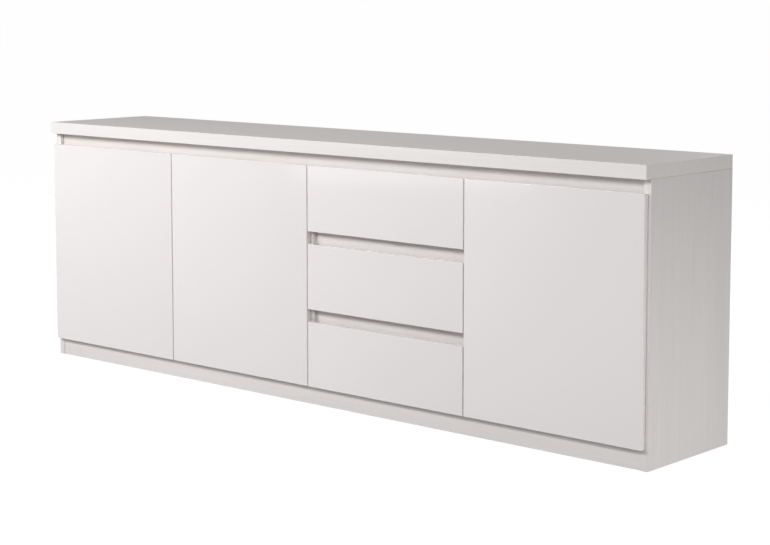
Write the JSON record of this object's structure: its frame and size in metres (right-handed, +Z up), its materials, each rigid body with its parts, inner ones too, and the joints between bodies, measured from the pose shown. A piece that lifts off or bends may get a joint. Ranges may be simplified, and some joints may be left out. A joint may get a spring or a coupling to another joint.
{
  "type": "sideboard",
  "caption": "Long low white sideboard with gloss doors and a drawer stack, opened by finger recesses, under a thick overhanging top.",
  "frame": {"origin": "centre of the footprint, on the floor", "axes": "+X to the right along the length seen from the front, +Y to the back, +Z up"},
  "size_m": [2.4, 0.42, 0.8],
  "materials": {
    "front_gloss": "MDF board with a high gloss white lacquer",
    "slab_board": "white decor with a faint fine grain, satin",
    "carcass_board": "white decor with a faint fine grain, satin",
    "back_board": "thin fibreboard, white printed face",
    "drawer_board": "foil-wrapped board, matt off-white",
    "hinge_metal": "nickel-plated pressed steel",
    "runner_metal": "white epoxy-coated steel with a plastic roller"
  },
  "bodies": {
    "carcass": {"top_slab": "slab_board", "side_panel_left": "carcass_board", "side_panel_right": "carcass_board", "partition_left": "carcass_board", "partition_centre": "carcass_board", "partition_right": "carcass_board", "bottom_panel": "carcass_board", "plinth_front": "carcass_board", "plinth_rear": "carcass_board", "plinth_brace": "carcass_board", "top_finger_rail": "carcass_board", "drawer_finger_rail_lower": "carcass_board", "drawer_finger_rail_upper": "carcass_board", "back_panel_left": "back_board", "back_panel_right": "back_board", "shelf_left": "carcass_board", "shelf_middle": "carcass_board", "shelf_right": "carcass_board", "hinge_arm_left_lower": "hinge_metal", "hinge_arm_left_upper": "hinge_metal", "hinge_arm_middle_lower": "hinge_metal", "hinge_arm_middle_upper": "hinge_metal", "hinge_arm_right_lower": "hinge_metal", "hinge_arm_right_upper": "hinge_metal", "carcass_runner_left_lower": "runner_metal", "carcass_runner_right_lower": "runner_metal", "carcass_runner_left_middle": "runner_metal", "carcass_runner_right_middle": "runner_metal", "carcass_runner_left_upper": "runner_metal", "carcass_runner_right_upper": "runner_metal"},
    "door_left": {"door_left": "front_gloss", "hinge_cup_left_lower": "hinge_metal", "hinge_cup_left_upper": "hinge_metal"},
    "door_middle": {"door_middle": "front_gloss", "hinge_cup_middle_lower": "hinge_metal", "hinge_cup_middle_upper": "hinge_metal"},
    "door_right": {"door_right": "front_gloss", "hinge_cup_right_lower": "hinge_metal", "hinge_cup_right_upper": "hinge_metal"},
    "drawer_lower": {"drawer_front_lower": "front_gloss", "drawer_side_left_lower": "drawer_board", "drawer_runner_left_lower": "runner_metal", "drawer_side_right_lower": "drawer_board", "drawer_runner_right_lower": "runner_metal", "drawer_back_lower": "drawer_board", "drawer_bottom_lower": "drawer_board"},
    "drawer_middle": {"drawer_front_middle": "front_gloss", "drawer_side_left_middle": "drawer_board", "drawer_runner_left_middle": "runner_metal", "drawer_side_right_middle": "drawer_board", "drawer_runner_right_middle": "runner_metal", "drawer_back_middle": "drawer_board", "drawer_bottom_middle": "drawer_board"},
    "drawer_upper": {"drawer_front_upper": "front_gloss", "drawer_side_left_upper": "drawer_board", "drawer_runner_left_upper": "runner_metal", "drawer_side_right_upper": "drawer_board", "drawer_runner_right_upper": "runner_metal", "drawer_back_upper": "drawer_board", "drawer_bottom_upper": "drawer_board"}
  },
  "joints": [
    {"name": "door_left_swing", "type": "hinge", "parent": "carcass", "child": "door_left", "pos_m": [-1.192, -0.204, 0.3915], "axis": [0, 0, -1], "range_deg": [0, 95]},
    {"name": "door_middle_swing", "type": "hinge", "parent": "carcass", "child": "door_middle", "pos_m": [-0.598, -0.204, 0.3915], "axis": [0, 0, -1], "range_deg": [0, 95]},
    {"name": "door_right_swing", "type": "hinge", "parent": "carcass", "child": "door_right", "pos_m": [1.192, -0.204, 0.3915], "axis": [0, 0, 1], "range_deg": [0, 95]},
    {"name": "drawer_lower_slide", "type": "slide", "parent": "carcass", "child": "drawer_lower", "axis": [0, -1, 0], "range_m": [0, 0.26]},
    {"name": "drawer_middle_slide", "type": "slide", "parent": "carcass", "child": "drawer_middle", "axis": [0, -1, 0], "range_m": [0, 0.26]},
    {"name": "drawer_upper_slide", "type": "slide", "parent": "carcass", "child": "drawer_upper", "axis": [0, -1, 0], "range_m": [0, 0.26]}
  ]
}
